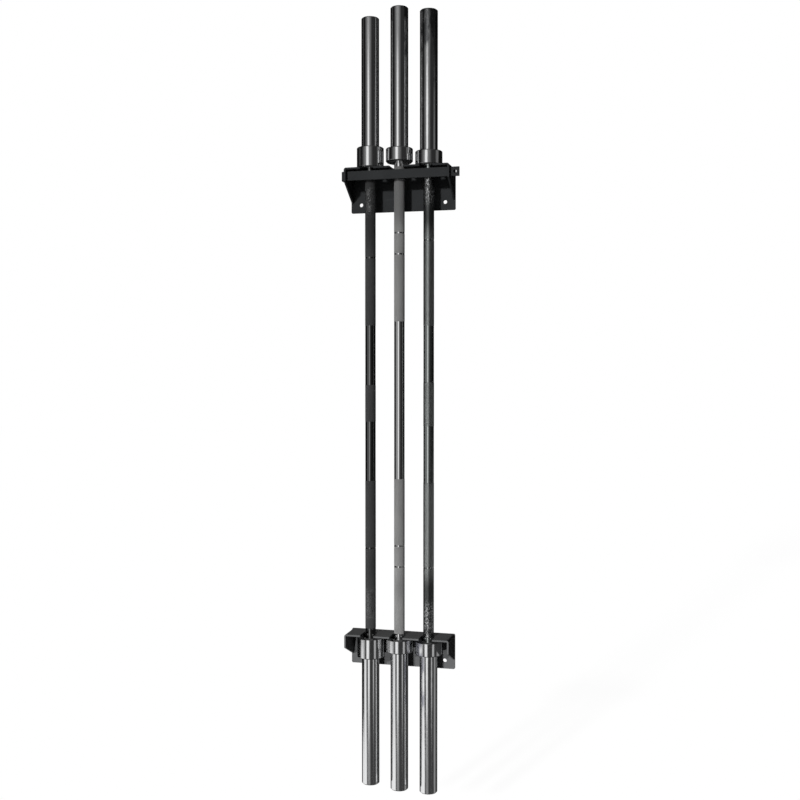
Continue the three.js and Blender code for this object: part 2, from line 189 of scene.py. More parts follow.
class Finishes(PropertyGroup):
    upper_powder: colour("Upper powder coat", (0.026, 0.0273, 0.0285), "Upper bracket, lock bar")
    # The lower coat is paler than the upper one as painted light: it stands in for the brighter
    # light on the lower bracket.
    lower_powder: colour("Lower powder coat", (0.06, 0.061, 0.062), "Lower bracket, a paler batch")
    left_knurl: colour("Left knurl", (0.075, 0.076, 0.077), "Black oxide")
    middle_knurl: colour("Middle knurl", (0.39, 0.39, 0.387), "Bead-blasted steel")
    right_knurl: colour("Right knurl", (0.58, 0.61, 0.6), "Dark chrome")
    left_plain: colour("Left plain", (0.2, 0.203, 0.202), "Black oxide, rubbed smooth")
    middle_plain: colour("Middle plain", (0.8, 0.802, 0.804), "Smooth steel")
    right_plain: colour("Right plain", (0.54, 0.57, 0.56), "Dark chrome")
    chrome: colour("Chrome", (0.8, 0.805, 0.81), "Sleeves, collars and caps")
    bronze: colour("Bronze", (0.6, 0.42, 0.22), "Bushings")
    plain_steel: colour("Plain steel", (0.46, 0.46, 0.47), "Washers, snap rings and pins")
    knurl_metallic: shares("Knurl metallic", (0.35, 0.45, 1), "How metallic the knurls are")
    knurl_roughness: shares("Knurl roughness", (0.5, 0.5, 0.34), "Roughness of the knurls")
    knurl_relief: shares("Knurl relief", (0.6, 0.6, 0.3), "How deep the knurls look")
    knurl_ends: shares("Knurl ends", (0.7, 0.7, 0.3), "Brightness beyond the outer ring mark")
    upper_polish: shares("Upper polish", (0.9, 0.05, 1), "How rubbed the knurl is at its top")
    lower_polish: shares("Lower polish", (0.7, 0.05, 1), "How rubbed the knurl is at its foot")
    knurl_shine: shares("Knurl shine", (0.42, 0.35, 0.8), "Brightness of rubbed knurl")
    plain_roughness: shares("Plain roughness", (0.12, 0.09, 0.14), "Roughness of plain shafts")
    sleeve_roughness: shares("Sleeve roughness", (0.11, 0.11, 0.1), "Roughness of the sleeves")
    sleeve_ripple: shares("Sleeve ripple", (0.08, 0.05, 0.5), "How wavy the sleeves are")
    # Painted reflection: tinted, darker patches on the sleeves stand in for mirrored surroundings.
    # They lie near an upper tip and on the left of a lower sleeve's upper end, and are a little
    # rougher as well.
    sleeve_haze: shares("Sleeve haze", (0, 0, 0.9), "How far the sleeves are scuffed")
    upper_haze: colour("Upper haze", (0.16, 0.165, 0.17), "Scuffed chrome of an upper sleeve")
    lower_haze: colour("Lower haze", (0.36, 0.365, 0.42), "Scuffed chrome of a lower sleeve")
    haze_length: lengths("Haze length", (0.13, 0.22), "How far down a sleeve its scuffs reach")


class StageSettings(PropertyGroup):
    camera_place: place("Camera place", (0.7652, -3.023, -0.5211), "Where the camera stands")
    camera_turn: rotation("Camera turn", (1.547339, 0, 0.2509085), "Which way it's turned")
    lens: number("Lens", 49.08, "Focal length on a sensor 36 mm wide", unit="CAMERA")
    key_heading: angle("Key heading", -15, "Direction of the far lamp, to the right of the front")
    key_rise: angle("Key rise", 18, "Height of the far lamp over the horizon")
    key_strength: number("Key strength", 3.1, "Strength of the far lamp")
    back_heading: angle("Back heading", 188, "Direction of the lamp behind the rack")
    back_rise: angle("Back rise", 2, "Height of the lamp behind the rack over the horizon")
    back_strength: number("Back strength", 3, "Strength of the lamp behind the rack")
    spread: angle("Spread", 4, "Width of these two lamps, which softens their shadows")
    fill_place: place("Fill place", (-0.36, -2.4, -1.74), "Centre of the near lamp")
    fill_aim: place("Fill aim", (0.06, 0, -1.38), "Point that the near lamp faces")
    fill_size: length("Fill size", 0.12, "Diameter of the near lamp")
    fill_cone: angle("Fill cone", 19, "Width of the near lamp's cone")
    fill_power: number("Fill power", 330, "Power of the near lamp", unit="POWER")
    ambient: number("Ambient", 0.022, "Brightness of the even light")
    floor_drop: length("Floor drop", 0.15, "Lowest sleeve to the floor")
    floor_size: length("Floor size", 40, "Side of the floor")
    floor_white: number("Floor white", 1.1, "Strength at which the floor shows as white")
    floor_shadow: number("Floor shadow", 0.12, "How dark its shadow shows", max=1)


# White panels that the metal mirrors, in degrees but for the level. 0 lies in front of the wall and
# 90 to the right. A panel is fully lit up to bright on both sides of its centre and ends at edge.
# It reaches from low to high over the horizon, with edges as wide as soft. Behind, it's dark near
# the horizon, because the undersides of the upper collars mirror that.
PANELS = (  # centre, bright, edge, low, high, soft, level
    (-9, 5, 18, -18, 16.5, 3, 1.0),  # key
    (-9, 4, 56, -8, 50, 12, 0.26),  # glow round the key
    (14, 45, 85, -60, 60, 20, 0.028),  # front, dim
    (25, 50, 80, -60, -13, 8, 0.055),  # front, low, dim
    (-46, 12, 34, -9, 7, 5, 0.3),  # left, at eye level
    (-88, 4, 18, 5, 30, 5, 0.05),  # far left, high
    (-41, 3, 12, -16, -9, 3, 0.34),  # left, low
    (-60, 6, 27, -40, -13.5, 2, 1.0),  # left, on the floor
    (-72, 30, 48, -40, -18.2, 1.5, 0.95),  # left, wide on the floor
    (-4, 8, 24, -40, -17, 4, 0.26),  # front, on the floor
    (53, 3, 13, -17.5, -9, 3, 0.5),  # right, low
    (88, 4, 22, 5, 14.5, 4, 0.16),  # far right, high
    (101, 5, 24, -40, -7, 4, 0.3),  # far right, low
    (125, 10, 40, -40, -5, 5, 0.07),  # right, behind, low
    (194, 4, 14, -2, 40, 4, 0.4),  # behind, high
    (194, 4, 14, -40, -17, 4, 0.4),  # behind, low
    (0, 180, 181, 60, 90, 20, 0.06),  # ceiling
    (0, 180, 181, -90, -50, 15, 0.03),  # floor
)
DARK_STUDIO = 0.006  # level beside the panels


def sizes():
    """The scene's sizes, colours and stage settings."""
    return bpy.context.scene.barbell_rack


# Meshes


def arc(centre, radius, start, turn, steps):
    """Points on an arc in a plane, both ends among them."""
    angles = (start + turn * i / steps for i in range(steps + 1))
    return [(centre[0] + radius * math.cos(a), centre[1] + radius * math.sin(a)) for a in angles]


def circle(centre, diameter, steps=HOLE_SIDES):
    return arc(centre, diameter / 2, 0, math.tau, steps)[:-1]


def new_object(name, data):
    made = bpy.data.objects.new(name, data)
    bpy.context.collection.objects.link(made)
    return made


def piece_from_bmesh(name, bm):
    """A new object at the origin, shaded smooth but for its sharp edges."""
    mesh = bpy.data.meshes.new(name)
    bm.to_mesh(mesh)
    bm.free()
    mesh.polygons.foreach_set("use_smooth", [True] * len(mesh.polygons))
    mesh.set_sharp_from_angle(angle=SHARP_BEND)
    return new_object(name, mesh)


def applied(piece):
    """Replaces the piece's mesh by what its modifiers make of it."""
    evaluated = piece.evaluated_get(bpy.context.evaluated_depsgraph_get())
    mesh = bpy.data.meshes.new_from_object(evaluated)
    old = piece.data
    piece.modifiers.clear()
    piece.data = mesh
    bpy.data.meshes.remove(old)
    mesh.name = piece.name
    return piece


def blank(outline, holes, thickness, lines=()):
    """A flat blank cut from sheet, its outer face at w = 0, split along the lines u = ..."""
    loops = [[Vector((u, v, 0)) for u, v in loop] for loop in (outline, *holes)]
    bm = bmesh.new()
    verts = [bm.verts.new(p) for loop in loops for p in loop]
    for triangle in tessellate_polygon(loops):
        bm.faces.new([verts[i] for i in triangle])
    bmesh.ops.dissolve_limit(bm, angle_limit=FLAT_BEND, verts=bm.verts, edges=bm.edges)
    for u in lines:
        everything = [*bm.verts, *bm.edges, *bm.faces]
        bmesh.ops.bisect_plane(bm, geom=everything, plane_co=(u, 0, 0), plane_no=(1, 0, 0))
    lower = bmesh.ops.extrude_face_region(bm, geom=list(bm.faces))["geom"]
    moved = [v for v in lower if isinstance(v, bmesh.types.BMVert)]
    bmesh.ops.translate(bm, verts=moved, vec=(0, 0, -thickness))
    bmesh.ops.recalc_face_normals(bm, faces=bm.faces)
    return bm


class Fold:
    """A square fold of a blank towards its inner face, past start along +u or -u."""

    def __init__(self, start, side, radius, thickness):
        self.start = start
        self.side = side
        self.radius = radius
        self.thickness = thickness
        self.stretch = (radius - thickness / 2) * QUARTER

    def flat(self, depth):
        """Where a point lies on the blank that ends up depth below the outer face."""
        return self.side * (self.start + self.stretch + depth - self.radius)

    def lines(self):
        """Where the blank is split, so that it bends evenly."""
        shares = (i / FOLD_STEPS for i in range(FOLD_STEPS + 1))
        return [self.side * (self.start + self.stretch * share) for share in shares]

    def apply(self, bm):
        for vert in bm.verts:
            u, v, w = vert.co
            past = self.side * u - self.start
            if past <= 0:
                continue
            turn = min(past / self.stretch, 1) * QUARTER
            radius = self.radius + w
            out = self.start + radius * math.sin(turn)
            down = self.radius - radius * math.cos(turn) + max(past - self.stretch, 0)
            vert.co = (self.side * out, v, -down)


def place_blank(bm, along, outward, origin):
    """Moves a blank from u, v, w to the rack's frame, where u runs to the right."""
    for vert in bm.verts:
        u, v, w = vert.co
        vert.co = origin + X * u + along * v + outward * w
    bmesh.ops.recalc_face_normals(bm, faces=bm.faces)


def soften(piece, width):
    """Rounds the sharp edges of a cut or folded piece."""
    bevel = piece.modifiers.new("Soft edges", "BEVEL")
    bevel.width = width
    bevel.segments = 3
    bevel.limit_method = "ANGLE"
    bevel.angle_limit = SHARP_BEND
    bevel.harden_normals = True
    return applied(piece)


def rounded(profile, closed=True):
    """Rounds the corners of a profile of (radius, height, softness)."""
    points = []
    for i, (radius, height, softness) in enumerate(profile):
        here = Vector((radius, height))
        if not softness or not (closed or 0 < i < len(profile) - 1):
            points.append(here)
            continue
        before = Vector(profile[i - 1][:2]) - here
        after = Vector(profile[(i + 1) % len(profile)][:2]) - here
        room = CORNER_ROOM * min(before.length, after.length)
        reach = min(softness, room / CORNER_REACH)
        before, after = before.normalized(), after.normalized()
        points.append(here + before * reach * CORNER_REACH)
        for step in range(CORNER_STEPS + 1):
            t = step / CORNER_STEPS
            points.append(here + before * reach * (1 - t) ** 2 + after * reach * t**2)
        points.append(here + after * reach * CORNER_REACH)
    return points


def turned(name, profile, axis, closed=True):
    """A turned piece round the upright axis at (x, y), with its wrap map."""
    sides = sizes().barbell.sides
    bm = bmesh.new()
    rings = []
    for radius, height in rounded(profile, closed):
        if radius <= 0:
            rings.append([bm.verts.new((*axis, height))] * sides)
            continue
        spots = circle(axis, 2 * radius, sides)
        rings.append([bm.verts.new((*spot, height)) for spot in spots])
    wrap = bm.loops.layers.uv.new(WRAP_MAP)
    pairs = list(zip(rings, rings[1:]))
    if closed:
        pairs.append((rings[-1], rings[0]))
    for low, high in pairs:
        for j in range(sides):
            k = (j + 1) % sides
            corners = {}  # on the axis two corners share a vert
            for vert, turn in ((low[j], j), (low[k], j + 1), (high[k], j + 1), (high[j], j)):
                corners.setdefault(vert, turn)
            face = bm.faces.new(list(corners))
            for loop, (vert, turn) in zip(face.loops, corners.items()):
                loop[wrap].uv = (turn / sides, vert.co.z)
    bmesh.ops.recalc_face_normals(bm, faces=bm.faces)
    return piece_from_bmesh(name, bm)


def finish_piece(piece, body, slot, materials, *nodes):
    """Gives a piece its materials and its body, and hides the CAD nodes that it stands for."""
    for look in materials:
        piece.data.materials.append(look)
    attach(piece, body)
    if nodes:
        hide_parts(*nodes)
    return piece


def spinning_piece(bar, end, kind, name, metal, profile, closed=True):
    """Turns a piece of a sleeve that stands for the CAD node of its kind."""
    sleeve = f"bar_{bar}_{end}"
    piece = turned(f"{bar}_{end}_{name}", profile, bar_axis(bar), closed)
    finish_piece(piece, f"{sleeve}_sleeve", "chrome_sleeve", [metal], f"{sleeve}_{kind}")


def bar_axis(bar):
    low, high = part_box(f"bar_{bar}_shaft")
    return ((low.x + high.x) / 2, (low.y + high.y) / 2)


def half_width(node):
    low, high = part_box(node)
    return (high.x - low.x) / 2


def inner_and_outer(node, end):
    """Heights of a piece's two faces, first the one nearer to the shaft's middle."""
    low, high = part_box(node)
    return (low.z, high.z) if end == "upper" else (high.z, low.z)


# Materials


class NodeMaker:
    """Adds nodes with their inputs and settings to one tree."""

    def __init__(self, tree):
        self.tree = tree

    def add(self, kind, inputs=None, **settings):
        node = self.tree.nodes.new(kind)
        for name, value in settings.items():
            setattr(node, name, value)
        for key, value in (inputs or {}).items():
            self.feed(node, key, value)
        return node

    def feed(self, node, key, value):
        if isinstance(value, bpy.types.NodeSocket):
            self.tree.links.new(value, node.inputs[key])
        else:
            node.inputs[key].default_value = value

    def math(self, operation, first, *others):
        """Takes in one operand after the other."""
        for other in others or (0.0,):
            inputs = {0: first, 1: other}
            first = self.add("ShaderNodeMath", inputs, operation=operation).outputs[0]
        return first

    def product(self, *factors):
        return self.math("MULTIPLY", *factors)

    def total(self, *parts):
        return self.math("ADD", *parts)

    def vector_math(self, operation, *vectors):
        return self.add("ShaderNodeVectorMath", dict(enumerate(vectors)), operation=operation)

    def clamped(self, value):
        return self.add("ShaderNodeClamp", {"Value": value}).outputs[0]

    def seen(self):
        """1 for the camera's rays, also past clear things, and 0 for light and mirrors."""
        path = self.add("ShaderNodeLightPath").outputs
        return self.math("MAXIMUM", path["Is Camera Ray"], path["Is Transmission Ray"])

    def bump(self, shader, height, strength, distance):
        inputs = {"Height": height, "Strength": strength, "Distance": distance}
        self.feed(shader, "Normal", self.add("ShaderNodeBump", inputs).outputs[0])

    def span(self, value, low, high):
        """Maps a value of 0 to 1 onto low to high."""
        node = self.add("ShaderNodeMapRange", {"Value": value, "To Min": low, "To Max": high})
        return node.outputs["Result"]

    def step(self, value, start, end):
        """Rises smoothly from 0 at start to 1 at end."""
        inputs = {"Value": value, "From Min": start, "From Max": end}
        node = self.add("ShaderNodeMapRange", inputs, interpolation_type="SMOOTHSTEP")
        return node.outputs["Result"]

    def noise(self, scale, stretch=(1, 1, 1), detail=2):
        """Cloudy noise in the rack's frame, with its scale in spots per metre."""
        spot = self.add("ShaderNodeTexCoord").outputs["Object"]
        stretched = self.add("ShaderNodeMapping", {"Vector": spot, "Scale": stretch})
        inputs = {"Vector": stretched.outputs[0], "Scale": scale, "Detail": detail}
        return self.add("ShaderNodeTexNoise", inputs).outputs["Fac"]

    def blend(self, factor, first, second):
        """Mixes two colours, each a triple or a socket."""
        inputs = {"Factor": factor}
        for key, end in ((6, first), (7, second)):
            inputs[key] = end if isinstance(end, bpy.types.NodeSocket) else (*end, 1)
        return self.add("ShaderNodeMix", inputs, data_type="RGBA").outputs[2]


def finish_colour(name):
    return tuple(getattr(sizes().finishes, name))


def scaled(base, factor):
    return tuple(min(channel * factor, 1) for channel in base)


def material(name):
    """A new material, its node maker and its shader."""
    made = bpy.data.materials.new(name)
    made.use_nodes = True
    shader = next(n for n in made.node_tree.nodes if n.type == "BSDF_PRINCIPLED")
    return made, NodeMaker(made.node_tree), shader


def powder_coat(name, level="upper"):
    """Satin black powder coat with orange peel, faint clouds and rub marks."""
    made, nodes, shader = material(name)
    # A lower bracket's paler coat is painted light, standing in for the brighter light on it.
    base = finish_colour(f"{level}_powder")
    clouds = nodes.noise(22, detail=5)
    rubs = nodes.noise(60, stretch=(0.25, 1, 6), detail=6)
    peel = nodes.noise(1100, detail=1)
    worn = nodes.add(
        "ShaderNodeMapRange", {"Value": rubs, "From Min": 0.6, "From Max": 0.78, "To Max": 0.35}
    ).outputs["Result"]
    tint = nodes.blend(clouds, scaled(base, 0.75), scaled(base, 1.25))
    nodes.feed(shader, "Base Color", nodes.blend(worn, tint, scaled(base, 2.2)))
    nodes.feed(shader, "Roughness", nodes.span(clouds, 0.4, 0.56))
    shader.inputs["Specular IOR Level"].default_value = 0.12
    nodes.bump(shader, peel, strength=0.35, distance=0.0002)
    return made


def turned_metal(name, tone, roughness, lines=0.12, ripple=0.0, scuffs=None):
    """Machined metal with fine turning lines, long rub marks, soft waves and cloudy wear."""
    made, nodes, shader = material(name)
    shader.inputs["Metallic"].default_value = 1
    base = finish_colour(tone)
    turning = nodes.noise(1, stretch=(30, 30, 2600), detail=3)
    streaks = nodes.noise(1, stretch=(520, 520, 9), detail=3)
    clouds = nodes.noise(34, stretch=(1, 1, 0.35), detail=5)
    waves = nodes.noise(1, stretch=(55, 55, 16), detail=3)
    tint = nodes.blend(clouds, scaled(base, 0.9), scaled(base, 1.08))
    rough = nodes.span(clouds, roughness * 0.7, roughness * 1.35)
    rough = nodes.total(rough, nodes.span(streaks, -0.06, 0.06))
    # Tinted patches of painted reflection, which are a little rougher as well
    if scuffs:
        patches = reflection_patch_mask(nodes, scuffs)
        tint = nodes.blend(patches, tint, finish_colour(scuffs.tone))
        rough = nodes.total(rough, nodes.product(patches, 0.1))
    nodes.feed(shader, "Base Color", tint)
    nodes.feed(shader, "Roughness", rough)
    waves = nodes.product(waves, WAVE_HEIGHT * ripple)
    relief = nodes.total(turning, nodes.product(streaks, 0.25), waves)
    nodes.bump(shader, relief, strength=lines, distance=0.0001)
    return made


# Painted reflection patches of a sleeve from low to high, all round or to the left of middle alone
Scuffs = namedtuple("Scuffs", "amount tone low high middle")


def reflection_patch_mask(nodes, scuffs):
    low, high, middle = scuffs.low, scuffs.high, scuffs.middle
    soft = (high - low) / 5
    spot = nodes.add("ShaderNodeTexCoord").outputs["Object"]
    split = nodes.add("ShaderNodeSeparateXYZ", {0: spot}).outputs
    inside = [nodes.step(split[2], low, low + soft), nodes.step(split[2], high + soft, high)]
    if middle is not None:
        inside.append(nodes.step(split[0], *(middle - reach for reach in REFLECTION_SIDE)))
    spots = nodes.step(nodes.noise(55, stretch=(1, 1, 0.4), detail=6), *REFLECTION_SPOTS)
    return nodes.product(spots, nodes.product(*inside), scuffs.amount)


def sleeve_chrome(bar, end, kind, scuffed=True):
    """Chrome with painted reflection patches at the upper tip and on the lower sleeve's upper end.
    """
    finishes = sizes().finishes
    index = BARS.index(bar)
    amount = finishes.sleeve_haze[index]
    scuffs = None
    if amount and scuffed:
        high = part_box(f"bar_{bar}_{end}_sleeve")[1].z
        low = high - finishes.haze_length[LEVELS.index(end)]
        middle = bar_axis(bar)[0] if end == "lower" else None
        scuffs = Scuffs(amount, f"{end}_haze", low, high, middle)
    roughness, ripple = finishes.sleeve_roughness[index], finishes.sleeve_ripple[index]
    name = f"{bar}_{end}_{kind}_chrome"
    return turned_metal(name, "chrome", roughness, ripple=ripple, scuffs=scuffs)


def knurled_metal(name, index, middle, reach):
    """Diamond knurling on the wrap map, with painted shade in its grooves and painted highlights on
    its tips.
    """
    made, nodes, shader = material(name)
    size, finishes = sizes().barbell, sizes().finishes
    bar = BARS[index]
    base = finish_colour(f"{bar}_knurl")
    wrap = nodes.add("ShaderNodeUVMap", uv_map=WRAP_MAP).outputs[0]
    turns, height = nodes.add("ShaderNodeSeparateXYZ", {0: wrap}).outputs[:2]

    # Diamonds of two crossing sets of ridges, with painted shade in the grooves and painted
    # highlights on the tips, and darker in cloudy patches
    ridges = round(math.tau * half_width(f"bar_{bar}_shaft") / size.knurl_pitch)
    across = nodes.product(turns, float(ridges))
    along = nodes.math("DIVIDE", height, size.knurl_pitch)
    slants = (nodes.math(operation, across, along) for operation in ("ADD", "SUBTRACT"))
    waves = [nodes.math("PINGPONG", slant, 0.5) for slant in slants]
    diamonds = nodes.product(*waves, 4.0)  # 0 in the grooves and 1 on the tips
    clouds = nodes.noise(40, stretch=(1, 1, 0.3), detail=5)
    speckle = nodes.noise(420, detail=3)
    shade = nodes.product(diamonds, nodes.span(speckle, 0.2, 1.8), 0.7)
    lit = nodes.clamped(nodes.total(shade, nodes.span(clouds, -0.1, 0.4)))
    aside = nodes.math("ABSOLUTE", nodes.math("SUBTRACT", height, middle))
    mark = max(size.first_mark[index], size.second_mark[index])
    inner, outer = (
        nodes.blend(lit, scaled(tone, 0.6), scaled(tone, 1.5))
        for tone in (base, scaled(base, finishes.knurl_ends[index]))
    )
    tone = nodes.blend(nodes.step(aside, mark, mark + KNURL_FADE), inner, outer)

    # Grains that hands and slots have rubbed bright near the collars
    upper = nodes.math("GREATER_THAN", height, middle)
    polish = nodes.span(upper, finishes.lower_polish[index], finishes.upper_polish[index])
    grains = nodes.step(nodes.noise(330, stretch=(1, 1, 0.6)), 0.42, 0.62)
    polished = size.polish_length[index]
    start = nodes.step(aside, reach - polished, reach - 0.75 * polished)
    stop = reach - size.polish_gap[index]
    band = nodes.product(start, nodes.step(aside, stop, stop - POLISH_FADE))
    shine = nodes.clamped(nodes.product(band, grains, polish))
    bright = scaled((1, 1.01, 1.02), finishes.knurl_shine[index])
    nodes.feed(shader, "Base Color", nodes.blend(shine, tone, bright))
    bare = nodes.clamped(nodes.span(shine, finishes.knurl_metallic[index], 2))
    nodes.feed(shader, "Metallic", bare)
    shader.inputs["Diffuse Roughness"].default_value = 1
    rough = finishes.knurl_roughness[index]
    even = nodes.span(clouds, rough * 0.85, rough * 1.15)
    smoother = nodes.span(shine, 0, rough - RUBBED_ROUGHNESS)
    nodes.feed(shader, "Roughness", nodes.math("SUBTRACT", even, smoother))
    relief = nodes.total(diamonds, nodes.product(grains, shine, 2.0))
    nodes.bump(shader, relief, strength=finishes.knurl_relief[index], distance=0.0003)
    return made


# Operators


class RACK_OT_back_plates(Operator):
    """Cuts the two back plates with their screw holes"""

    bl_idname = "barbell_rack.back_plates"
    bl_label = "Back Plates"

    def execute(self, context):
        size = sizes().bracket
        for level in LEVELS:
            coat = powder_coat(f"{level}_plate_powder", level)
            node = f"{level}_back_plate"
            low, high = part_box(node)
            r = size.plate_corner
            left, right, foot, top = low.x + r, high.x - r, low.z + r, high.z - r
            outline = []
            for i, corner in enumerate(((right, top), (left, top), (left, foot), (right, foot))):
                outline += arc(corner, r, i * QUARTER, QUARTER, PLATE_STEPS)
            holes = [
                circle((x, z), size.screw_hole)
                for x in (low.x + size.hole_to_side, high.x - size.hole_to_side)
                for z in (low.z + size.hole_to_bottom, high.z - size.hole_to_top)
            ]
            bm = blank(outline, holes, high.y - low.y)
            place_blank(bm, Z, -Y, Y * low.y)
            piece = soften(piece_from_bmesh(f"{level}_plate", bm), size.soft_edge)
            finish_piece(piece, BRACKET_BODY, "black_powder", [coat], node)
        return {"FINISHED"}


class RACK_OT_shelves(Operator):
    """Cuts and folds the two slotted shelves with their gussets"""

    bl_idname = "barbell_rack.shelves"
    bl_label = "Shelves"

    def execute(self, context):
        for level in LEVELS:
            coat = powder_coat(f"{level}_shelf_powder", level)
            node = f"{level}_shelf"
            piece = self.folded(level, *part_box(node))
            finish_piece(piece, BRACKET_BODY, "black_powder", [coat], node)
        return {"FINISHED"}

    def folded(self, level, low, high):
        size = sizes().bracket
        start = high.x - size.fold_radius
        folds = [Fold(start, side, size.fold_radius, size.sheet) for side in (-1, 1)]
        left, right = folds
        front, back = low.y, high.y
        outline = [(left.flat(size.gusset_front), front)]
        for bar in BARS:
            outline += self.slot(bar, front)
        outline += [
            (right.flat(size.gusset_front), front),
            (right.flat(high.z - low.z), back),
            (left.flat(high.z - low.z), back),
        ]
        windows = [self.window(fold, high.z) for fold in folds] if level == "upper" else []
        bm = blank(outline, windows, size.sheet, [*left.lines(), *right.lines()])
        for fold in folds:
            fold.apply(bm)
        place_blank(bm, Y, Z, Z * high.z)
        return soften(piece_from_bmesh(f"{level}_sheet", bm), size.soft_edge)

    def slot(self, bar, front):
        size = sizes().bracket
        x, _ = bar_axis(bar)
        radius = size.slot_width / 2
        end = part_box(f"bar_{bar}_shaft")[1].y + size.shaft_gap
        curve = arc((x, end - radius), radius, math.pi, -math.pi, SLOT_STEPS)
        return [(x - radius, front), *curve, (x + radius, front)]

    def window(self, fold, top):
        low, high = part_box("lock_bar")
        gap = sizes().bracket.window_gap
        front, back = low.y - gap, low.y + sizes().lock_bar.thickness + gap
        near = fold.flat(top - high.z - gap)
        far = fold.flat(top - low.z + gap)
        return [(near, front), (far, front), (far, back), (near, back)]


class RACK_OT_weld_beads(Operator):
    """Lays the weld bead between each back plate and its folded sheet"""

    bl_idname = "barbell_rack.weld_beads"
    bl_label = "Weld Beads"

    def execute(self, context):
        size = sizes().bracket
        tree = self.bead_tree(powder_coat("weld_powder"))
        for level in LEVELS:
            node = f"{level}_weld"
            low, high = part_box(node)
            piece = self.seam(f"{level}_bead", low, high)
            modifier = piece.modifiers.new("Beads", "NODES")
            modifier.node_group = tree
            values = {"Leg": size.weld_leg, "Pitch": size.weld_pitch, "Seed": size.weld_seed}
            for item in tree.interface.items_tree:
                if item.name in values:
                    modifier[item.identifier] = values[item.name]
            finish_piece(applied(piece), BRACKET_BODY, "black_powder", [], node)
        return {"FINISHED"}

    def seam(self, name, low, high):
        """A thin line along the corner, from one gusset's foot over to the other's."""
        size = sizes().bracket
        inset = 0.3 * size.weld_leg
        radius = max(size.fold_radius - size.sheet - inset, inset)
        x = high.x - inset - radius
        z = high.z - inset - radius
        foot = low.z + size.weld_leg
        points = [(-x - radius, foot)]
        points += arc((-x, z), radius, math.pi, -QUARTER, SEAM_STEPS)
        points += arc((x, z), radius, QUARTER, -QUARTER, SEAM_STEPS)
        points.append((x + radius, foot))
        mesh = bpy.data.meshes.new(name)
        y = high.y - inset
        edges = [(i, i + 1) for i in range(len(points) - 1)]
        mesh.from_pydata([(px, y, pz) for px, pz in points], edges, [])
        return new_object(name, mesh)

    def bead_tree(self, coat):
        tree = bpy.data.node_groups.new("Weld bead", "GeometryNodeTree")
        sockets = (("Geometry", "Geometry"), ("Leg", "Float"), ("Pitch", "Float"), ("Seed", "Int"))
        for name, kind in sockets:
            tree.interface.new_socket(name, in_out="INPUT", socket_type=f"NodeSocket{kind}")
        tree.interface.new_socket("Geometry", in_out="OUTPUT", socket_type="NodeSocketGeometry")
        nodes = NodeMaker(tree)
        given = nodes.add("NodeGroupInput").outputs
        line = nodes.add("GeometryNodeMeshToCurve", {"Mesh": given["Geometry"]}).outputs[0]
        inputs = {"Curve": line, "Length": given["Pitch"]}
        points = nodes.add("GeometryNodeResampleCurve", inputs, mode="LENGTH")
        inputs = {"Segments": 12, "Rings": 8, "Radius": given["Leg"]}
        ripple = nodes.add("GeometryNodeMeshUVSphere", inputs)
        tangent = nodes.add("GeometryNodeInputTangent").outputs[0]
        turn = nodes.add("FunctionNodeAlignRotationToVector", {"Vector": tangent}, axis="Z")
        inputs = {0: RIPPLE_LEAST, 1: RIPPLE_MOST, "Seed": given["Seed"]}
        vary = nodes.add("FunctionNodeRandomValue", inputs, data_type="FLOAT_VECTOR")
        inputs = {
            "Points": points.outputs[0],
            "Instance": ripple.outputs["Mesh"],
            "Rotation": turn.outputs[0],
            "Scale": vary.outputs[0],
        }
        laid = nodes.add("GeometryNodeInstanceOnPoints", inputs).outputs[0]
        for kind in ("GeometryNodeRealizeInstances", "GeometryNodeSetShadeSmooth"):
            laid = nodes.add(kind, {"Geometry": laid}).outputs[0]
        laid = nodes.add("GeometryNodeSetMaterial", {"Geometry": laid, "Material": coat})
        nodes.add("NodeGroupOutput", {0: laid.outputs[0]})
        return tree


class RACK_OT_lock_bar(Operator):
    """Cuts and bends the sliding lock bar"""

    bl_idname = "barbell_rack.lock_bar"
    bl_label = "Lock Bar"

    def execute(self, context):
        size = sizes().lock_bar
        low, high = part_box("lock_bar")
        fold = Fold(-low.x - size.fold_radius, -1, size.fold_radius, size.thickness)
        end = fold.flat(high.y - low.y)
        outline = [(end, low.z), (high.x, low.z), (high.x, high.z), (end, high.z)]
        hole = circle((high.x - size.hole_to_end, (low.z + high.z) / 2), size.hole)
        bm = blank(outline, [hole], size.thickness, fold.lines())
        fold.apply(bm)
        place_blank(bm, Z, -Y, Y * low.y)
        piece = soften(piece_from_bmesh("lock_flat_bar", bm), size.soft_edge)
        finish_piece(piece, "lock_bar", "black_powder", [powder_coat("lock_powder")], "lock_bar")
        return {"FINISHED"}


